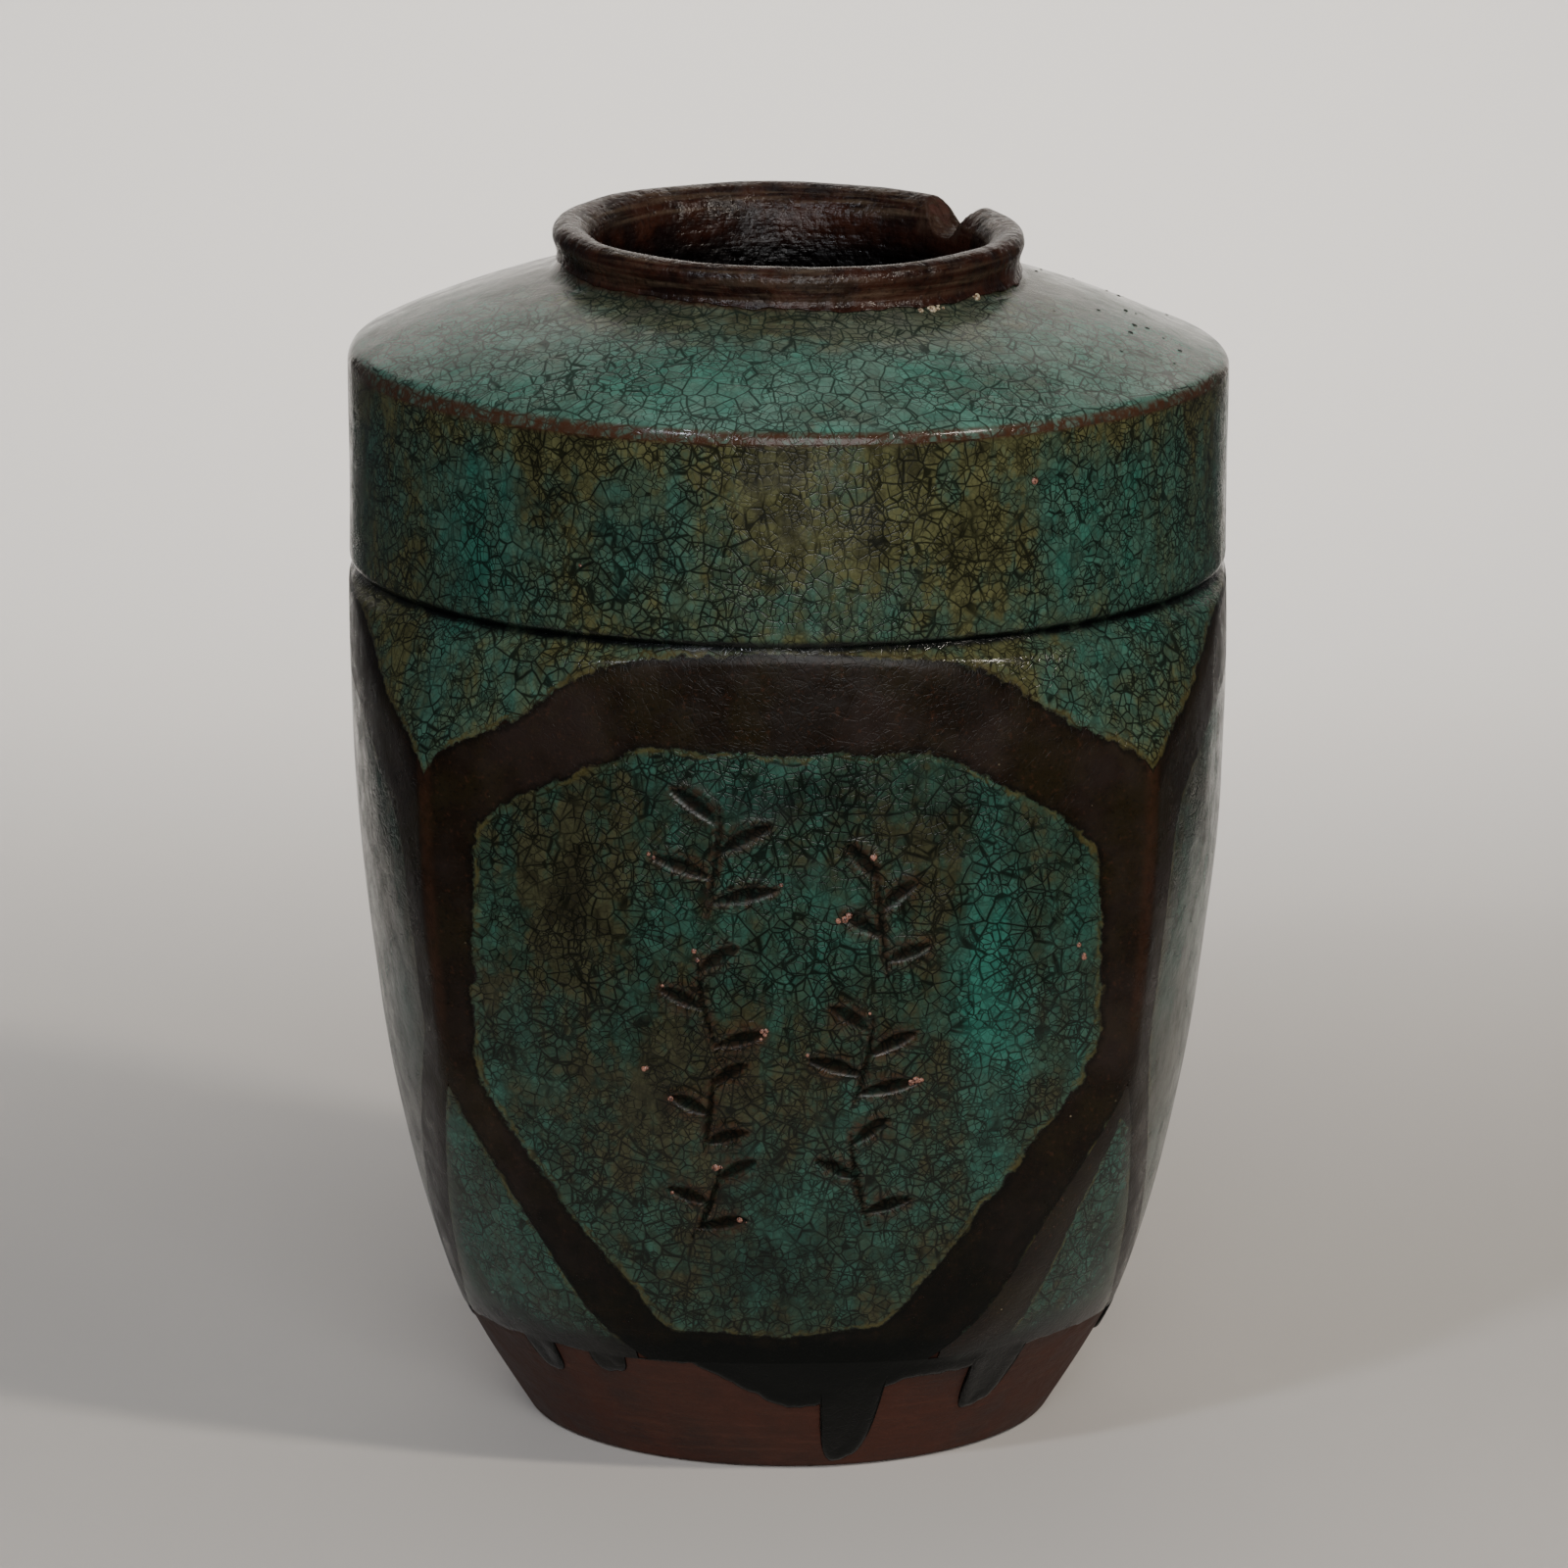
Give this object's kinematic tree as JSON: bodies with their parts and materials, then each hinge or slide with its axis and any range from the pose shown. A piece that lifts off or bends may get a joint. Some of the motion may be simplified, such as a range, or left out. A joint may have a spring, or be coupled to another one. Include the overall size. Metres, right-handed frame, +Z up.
{
  "type": "stoneware storage jar",
  "caption": "Four-sided stoneware storage jar with a round shoulder, short neck and rolled rim, under crackled green glaze with brown bands and a bare clay foot.",
  "frame": {"origin": "centre of the foot, on the surface that the jar stands on", "axes": "+Z up along the jar's axis; the front panel with the cut sprigs faces -Y; +X is to the right of it; the four ridges stand at 45 degrees to X and Y"},
  "size_m": [0.243, 0.243, 0.336],
  "materials": {
    "bare_clay": "matt fired clay",
    "green_glaze": "gloss, crackled",
    "brown_band_glaze": "gloss",
    "dark_run_glaze": "gloss",
    "iron_slip": "satin",
    "brown_lining": "gloss"
  },
  "bodies": {
    "root": {"foot_slab": "bare_clay", "base_wall": "bare_clay", "belly_wall": "bare_clay", "upper_wall": "bare_clay", "shoulder": "bare_clay", "neck": "bare_clay", "rim_roll": "bare_clay", "rim_slip": "iron_slip", "shoulder_glaze": "green_glaze", "upper_wall_glaze": "green_glaze", "cap_glaze": "green_glaze", "lower_lining": "brown_lining", "upper_lining": "brown_lining", "hem_glaze": "dark_run_glaze", "field_glaze_front": "green_glaze", "frame_glaze_front": "brown_band_glaze", "field_glaze_right": "green_glaze", "frame_glaze_right": "brown_band_glaze", "field_glaze_back": "green_glaze", "frame_glaze_back": "brown_band_glaze", "field_glaze_left": "green_glaze", "frame_glaze_left": "brown_band_glaze", "spandrel_glaze_front_right": "green_glaze", "spandrel_glaze_back_right": "green_glaze", "spandrel_glaze_back_left": "green_glaze", "spandrel_glaze_front_left": "green_glaze"}
  },
  "joints": []
}
